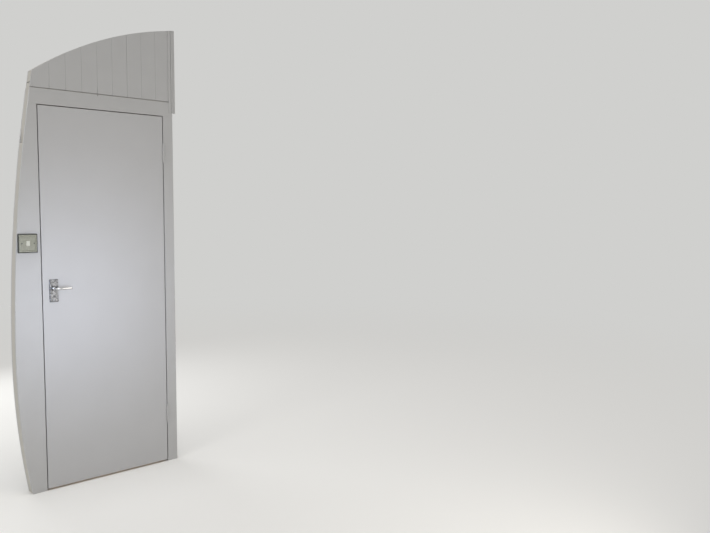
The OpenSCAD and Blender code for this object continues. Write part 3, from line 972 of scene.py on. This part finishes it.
class HUTDOOR_OT_latch(Operator):
    """Model the latch, its bolt and the strike plate"""

    bl_idname = "hutdoor.latch"
    bl_label = "Latch and strike"

    def execute(self, context):
        lowest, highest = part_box("latch_case")
        bolt_half = Vector((0, 6.2, 7.7)) * MM
        bolt_depth = 14.2 * MM
        spindle_hole = 6 * MM
        case = block(lowest, (lowest.x + FOREND, highest.y, highest.z))
        rounded(case, 2 * MM, 4, "X")
        length = highest.x - lowest.x - FOREND
        middle_x = lowest.x + FOREND + length / 2
        cut(case, rod((middle_x, LEAF_MID_Y, SPINDLE.z), CASE_RADIUS, length, ALONG_X), "UNION")
        mouth = Vector((lowest.x, LEAF_MID_Y, SPINDLE.z))
        cut(case, block(mouth - bolt_half - Vector((PAST, 0, 0)),
                        mouth + bolt_half + Vector((bolt_depth, 0, 0))))
        cut(case, rod(SPINDLE, spindle_hole, THROUGH, ALONG_Y))
        case = self.fastened(case, lowest.x, (0, -math.pi / 2, 0))
        deliver(case, "plated_latch_case", "door", "latch_case")

        bolt_slope = 7 * MM
        outer_x = low("latch_bolt").x
        bolt = rounded(
            block(*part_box("latch_bolt")), bolt_slope, 5, "Z",
            lambda edge: edge.verts[0].co.x < outer_x + PAST and edge.verts[0].co.y > LEAF_MID_Y)
        coated(ease(bolt, 0.3 * MM, 2), "zinc_plated_steel")
        deliver(bolt, "plated_latch_bolt", "door", "latch_bolt")

        strike = self.fastened(cut(block(*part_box("strike_plate")), keep_hole()), DOORWAY_X0, ALONG_X)
        deliver(strike, "plated_strike", "frame", "strike_plate")
        return {"FINISHED"}

    def fastened(self, plate, x, turn):
        """Ease and plate an upright plate, and sink its two screws."""
        coated(ease(plate, 0.3 * MM, 2), "zinc_plated_steel")
        apart = 40 * MM
        places = [(x, LEAF_MID_Y, SPINDLE.z + up) for up in (-apart / 2, apart / 2)]
        return screwed(plate, places, turn, settings().iron.small_screw, "zinc_plated_steel")


def backplate():
    """A stepped backplate with a turned collar and two screws."""
    lowest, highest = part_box("front_backplate")
    base = 3 * MM
    step = 3 * MM
    collar = 13 * MM
    boss_hole = 9.05 * MM
    screw_inset = 10 * MM
    piece = rounded(block((lowest.x, FACE_Y - base, lowest.z), highest), 4 * MM, 6, "Y")
    pick(piece, "FACE", lambda face: face.normal.y < -0.9)
    bpy.ops.mesh.inset(thickness=step * 0.7)
    extrude(y=-step * 0.6)
    bpy.ops.mesh.inset(thickness=step * 0.3, depth=step * 0.4)
    close()
    ease(piece, 0.5 * MM, angle=25)
    face = FACE_Y - base - step
    rings = [(-PAST, collar), (1.2 * MM, collar), (1.8 * MM, collar * 0.93), (2.4 * MM, collar * 0.93),
             (3 * MM, collar), (4 * MM, collar * 0.985), (4.4 * MM, collar * 0.93),
             (4 * MM, collar * 0.8)]
    cut(piece, settle(turned(rings, 56), (SPINDLE.x, face, SPINDLE.z), ALONG_Y), "UNION")
    cut(piece, rod((SPINDLE.x, FACE_Y, SPINDLE.z), boss_hole, THROUGH, ALONG_Y, 56))
    # The backplate's dark, strongly patched plating is painted reflection of a dim room, over some real
    # wear
    coated(piece, "worn_chrome_painted_reflections")
    places = [(SPINDLE.x, face, z) for z in (lowest.z + screw_inset, highest.z - screw_inset)]
    return screwed(piece, places, ALONG_Y, settings().iron.small_screw, "worn_chrome_painted_reflections")


def lever():
    """A lever: a turned boss, a neck bent through a right angle, a tapered arm and a scroll."""
    iron = settings().iron
    lowest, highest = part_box("front_lever")
    arm_depth = 7 * MM
    # The neck flares towards the bend, and the arm loses height at each step
    flare = 1.08
    narrowed = 0.986
    arm_y = lowest.y + arm_depth
    bend_y = arm_y + iron.bend
    reach = bend_y - FACE_Y
    rings = [(1 * MM, 9 * MM), (12 * MM, 9 * MM), (12.6 * MM, 8.4 * MM), (13 * MM, 6.8 * MM),
             (14.4 * MM, 6.4 * MM), (15.4 * MM, 7.6 * MM), (16.8 * MM, 7.6 * MM),
             (18 * MM, 5.6 * MM), (24 * MM, iron.neck), (-reach, iron.neck * flare)]
    piece = settle(turned(rings, 32), (SPINDLE.x, FACE_Y, SPINDLE.z), ALONG_Y)
    pick(piece, "FACE", lambda face: face.calc_center_median().y < bend_y + 0.1 * MM
         and face.normal.y < -0.9)
    # The spin carries the neck's end face round to look along the arm
    spin(math.pi / 2, (SPINDLE.x + iron.bend, bend_y, SPINDLE.z), (0, 0, 1), steps=10)
    x = SPINDLE.x + iron.bend
    scroll_x = highest.x - iron.scroll - iron.strip / 2
    steps = 8
    run = (scroll_x - x) / steps
    thinned = (iron.strip / (2 * flare * iron.neck)) ** (1 / steps)
    for i in range(steps):
        x += run
        extrude(x=run)
        bpy.ops.transform.resize(
            value=(1, thinned, narrowed), center_override=(x, arm_y, SPINDLE.z))
    # The strip's end rolls up towards the leaf, first wide and then tight
    spin(math.pi, (scroll_x, arm_y + iron.scroll, SPINDLE.z), (0, 0, 1), steps=14)
    inner = iron.scroll * 0.45
    spin(math.pi * 1.1, (scroll_x, arm_y + 2 * iron.scroll - inner, SPINDLE.z), (0, 0, 1), steps=12)
    face_out(weld=True)
    return coated(piece, "bright_chrome")


class HUTDOOR_OT_levers(Operator):
    """Model the lever and backplate of the room side, and mirror them to the closet side"""

    bl_idname = "hutdoor.levers"
    bl_label = "Lever sets"

    def execute(self, context):
        for kind, model, body in (("backplate", backplate, "door"), ("lever", lever, "handle")):
            piece = model()
            twin = mirrored(piece, LEAF_MID_Y)
            deliver(piece, "chromed_front_" + kind, body, "front_" + kind)
            deliver(twin, "chromed_back_" + kind, body, "back_" + kind)
        refinish("spindle", finish_called("zinc_plated_steel"))
        return {"FINISHED"}


class HUTDOOR_OT_switch(Operator):
    """Model the switch: a bronze box, an aged plate and a rocker"""

    bl_idname = "hutdoor.switch"
    bl_label = "Switch"

    def execute(self, context):
        corner = 3 * MM
        raised = 1.5 * MM
        border = 6.5 * MM
        rocker_hole = Vector((17.4, 40, 25.4)) * MM
        screws_apart = 60.3 * MM
        box = ease(rounded(block(*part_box("switch_box")), corner, 5, "Y"), 0.8 * MM)
        deliver(coated(box, "dark_bronze"), "bronze_switch_box", "frame", "switch_box")

        lowest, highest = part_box("switch_plate")
        plate = block((lowest.x, lowest.y + raised, lowest.z), highest)
        pick(plate, "FACE", lambda face: face.normal.y < -0.9)
        bpy.ops.mesh.inset(thickness=border)
        bpy.ops.mesh.inset(thickness=raised, depth=raised)
        close()
        rounded(plate, corner, 5, "Y")
        centre = middle("switch_rocker")
        cut(plate, block(centre - rocker_hole / 2, centre + rocker_hole / 2))
        coated(ease(plate, 0.4 * MM, angle=20), "lacquered_brass")
        places = [(centre.x + out, lowest.y, centre.z) for out in (-screws_apart / 2, screws_apart / 2)]
        plate = screwed(plate, places, ALONG_Y, settings().iron.screw, "dark_bronze")
        deliver(plate, "aged_switch_plate", "frame", "switch_plate")

        lowest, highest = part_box("switch_rocker")
        rocker = block(lowest, highest)
        bisect(rocker, centre, (0, 0, 1))
        # The upper end stands proud, and the middle and the lower end are pressed in
        for z, pressed in ((centre.z, 2.5 * MM), (lowest.z, 2 * MM)):
            pick(rocker, "EDGE", lambda edge: runs_along(edge, "X")
                 and abs(edge.verts[0].co.z - z) < PAST and edge.verts[0].co.y < centre.y)
            bpy.ops.transform.translate(value=(0, pressed, 0))
            close()
        coated(ease(rocker, 0.6 * MM), "moulded_urea")
        deliver(rocker, "cream_switch_rocker", "frame", "switch_rocker")
        return {"FINISHED"}


class HUTDOOR_OT_stage(Operator):
    """Set the camera, the soft lamps, the world and the floor"""

    bl_idname = "hutdoor.stage"
    bl_label = "Stage"

    def execute(self, context):
        self.camera(context)
        self.floor()
        stage = settings().stage
        self.lamp("window_lamp", (-0.9, -1.6, 0.98), (0.8, 0.5), stage.window, "E4ECFF",
                  aim=(-0.6, 0, 0.98), spread=60)
        self.lamp("side_lamp", (0.6, -2.75, 1.3), (0.9, 1.8), stage.side, "FFF8EE")
        self.lamp("upper_lamp", (-4.2, -1.5, 2.2), (1.5, 1.5), stage.upper, "FFFDFA",
                  aim=(-0.2, 0, 2.1))
        self.lamp("closet_lamp", (-0.5, 2.8, 1.9), (1.8, 1.8), stage.closet, "FFFFFF")
        self.sky()
        self.world(context)
        context.scene.view_settings.view_transform = "Standard"
        return {"FINISHED"}

    def camera(self, context):
        """A pinhole camera in the place that the photograph was taken from."""
        place = (-2.0887, -3.8627, 1.4695)
        heading = math.radians(-42.725)
        dip = math.radians(90 - 4.403)
        roll = math.radians(0.212)
        bpy.ops.object.camera_add()
        camera = context.active_object
        camera.data.sensor_width = 36
        camera.data.lens = settings().stage.lens
        camera.matrix_world = (
            Matrix.Translation(place) @ Matrix.Rotation(heading, 4, "Z")
            @ Matrix.Rotation(dip, 4, "X") @ Matrix.Rotation(roll, 4, "Z"))
        context.scene.camera = camera

    def maths(self, tree, operation, first, second):
        """A sum or a product of two numbers, kept between 0 and 1."""
        node = add_node(tree, "Math", {0: first, 1: second}, operation=operation, use_clamp=True)
        return node.outputs["Value"]

    def seen_directly(self, tree):
        """1 on rays from the camera, from glossy reflections and through glass, and 0 on others."""
        rays = add_node(tree, "LightPath").outputs
        seen = self.maths(tree, "ADD", rays["Is Camera Ray"], rays["Is Glossy Ray"])
        return self.maths(tree, "ADD", seen, rays["Is Transmission Ray"])

    def mixed(self, tree, factor, first, second):
        """The first shader where a factor is 0, and the second where it is 1."""
        mix = add_node(tree, "MixShader", {"Fac": factor, 1: first, 2: second})
        return mix.outputs["Shader"]

    def floor(self):
        """A wide pale floor that fades into the background far from the object."""
        near, far, edge = 2.5, 8, 45
        bpy.ops.mesh.primitive_circle_add(vertices=96, radius=edge, fill_type="NGON")
        floor = bpy.context.active_object
        floor.name = "studio_floor"
        material, tree, place = new_material("pale_floor")
        finish = settings().finish
        distance = add_node(tree, "VectorMath", {0: place}, operation="LENGTH")
        fade = spread_over(tree, distance.outputs["Value"], 0, 1, near, far,
                           interpolation_type="SMOOTHSTEP")
        paint = add_node(tree, "BsdfDiffuse", {"Color": shade(finish.floor)})
        glow = add_node(tree, "Emission", {"Color": shade(finish.backdrop), "Strength": 1})
        shown = self.maths(tree, "MULTIPLY", self.seen_directly(tree), fade)
        add_node(tree, "OutputMaterial", {"Surface": self.mixed(
            tree, shown, paint.outputs["BSDF"], glow.outputs["Emission"])})
        floor.data.materials.append(material)

    def lamp(self, name, place, size, power, tint, aim=(-0.45, 0, 1.05), spread=180):
        """A soft lamp that looks at one place, lights a cone of so many degrees and isn't seen."""
        bpy.ops.object.light_add(type="AREA")
        lamp = bpy.context.active_object
        lamp.name = name
        lamp.data.shape = "RECTANGLE"
        lamp.data.size, lamp.data.size_y = size
        lamp.data.energy = power
        lamp.data.color = linear(tint)
        lamp.data.spread = math.radians(spread)
        lamp.visible_camera = False
        lamp.location = place
        lamp.rotation_euler = (Vector(aim) - lamp.location).to_track_quat("-Z", "Y").to_euler()

    def sky(self):
        """A very soft light from above, which lights the floor more than the boards."""
        bpy.ops.object.light_add(type="SUN")
        lamp = bpy.context.active_object
        lamp.name = "sky_lamp"
        lamp.data.energy = settings().stage.sky
        lamp.data.color = linear("FFFDFB")
        lamp.data.angle = math.radians(40)
        lamp.rotation_euler = Vector((0.05, 0.12, -1)).to_track_quat("-Z", "Y").to_euler()

    def world(self, context):
        """An even pale world, softer as light than as background."""
        world = bpy.data.worlds.new("pale_world")
        world.use_nodes = True
        tree = world.node_tree
        tree.nodes.clear()
        light = add_node(tree, "Background", {
            "Color": (1, 1, 1, 1), "Strength": settings().stage.ambient})
        shown = add_node(tree, "Background", {
            "Color": shade(settings().finish.backdrop), "Strength": 1})
        add_node(tree, "OutputWorld", {"Surface": self.mixed(
            tree, self.seen_directly(tree), light.outputs["Background"],
            shown.outputs["Background"])})
        context.scene.world = world


STEPS = (
    HUTDOOR_OT_stage,
    HUTDOOR_OT_framing,
    HUTDOOR_OT_linings,
    HUTDOOR_OT_stiles,
    HUTDOOR_OT_boards,
    HUTDOOR_OT_trim,
    HUTDOOR_OT_leaf,
    HUTDOOR_OT_hinges,
    HUTDOOR_OT_latch,
    HUTDOOR_OT_levers,
    HUTDOOR_OT_switch,
)


class HUTDOOR_PT_panel(Panel):
    """The door's settings and steps"""

    bl_label = "Partition door"
    bl_idname = "HUTDOOR_PT_panel"
    bl_space_type = "VIEW_3D"
    bl_region_type = "UI"
    bl_category = "Door"

    def draw(self, context):
        layout = self.layout
        groups = context.scene.hutdoor
        for group in (groups.section, groups.timber, groups.iron, groups.finish, groups.stage):
            box = layout.box()
            for name in group.__annotations__:
                box.prop(group, name)
        for step in STEPS:
            layout.operator(step.bl_idname)


CLASSES = (
    HUTDOOR_PG_section,
    HUTDOOR_PG_timber,
    HUTDOOR_PG_iron,
    HUTDOOR_PG_finish,
    HUTDOOR_PG_stage,
    HUTDOOR_PG_all,
    *STEPS,
    HUTDOOR_PT_panel,
)


def register():
    for kind in CLASSES:
        bpy.utils.register_class(kind)
    bpy.types.Scene.hutdoor = PointerProperty(type=HUTDOOR_PG_all)


def unregister():
    del bpy.types.Scene.hutdoor
    for kind in reversed(CLASSES):
        bpy.utils.unregister_class(kind)


def main():
    """Run every step in order."""
    register()
    for step in STEPS:
        group, name = step.bl_idname.split(".")
        getattr(getattr(bpy.ops, group), name)()


if __name__ == "__main__":
    main()
